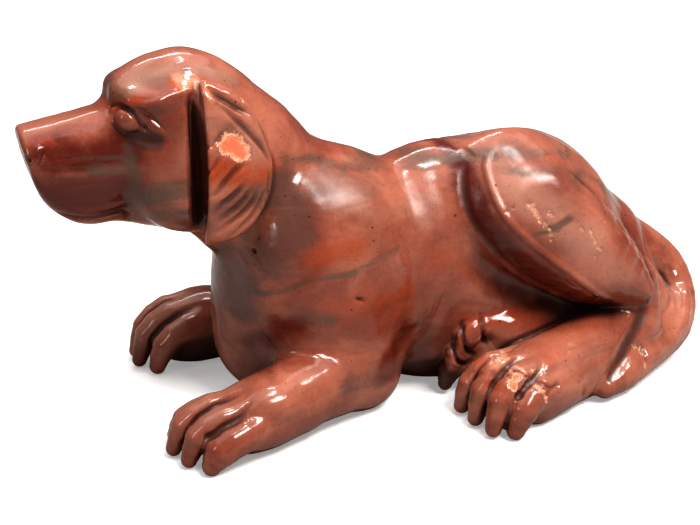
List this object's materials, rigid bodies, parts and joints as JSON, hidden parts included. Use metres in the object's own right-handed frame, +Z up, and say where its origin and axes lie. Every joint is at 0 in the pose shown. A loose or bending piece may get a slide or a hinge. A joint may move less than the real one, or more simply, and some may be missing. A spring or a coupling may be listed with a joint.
{
  "type": "dog carving",
  "caption": "Hound lying with its head up, long ears, forelegs stretched out, both hind feet and the curled tail to its left, carved solid in polished red stone; stands on its own underside",
  "frame": {"origin": "the middle of the footprint's box, on the ground the carving rests on", "axes": "+Z up, -X towards the nose, +X towards the tail, -Y towards the dog's left side, where both hind feet and the tail lie"},
  "size_m": [0.195, 0.094, 0.0974],
  "materials": {
    "stone": "polished brick-red quartzite with faint grey-green bands"
  },
  "bodies": {
    "root": {"dog_carving": "stone"}
  },
  "joints": []
}
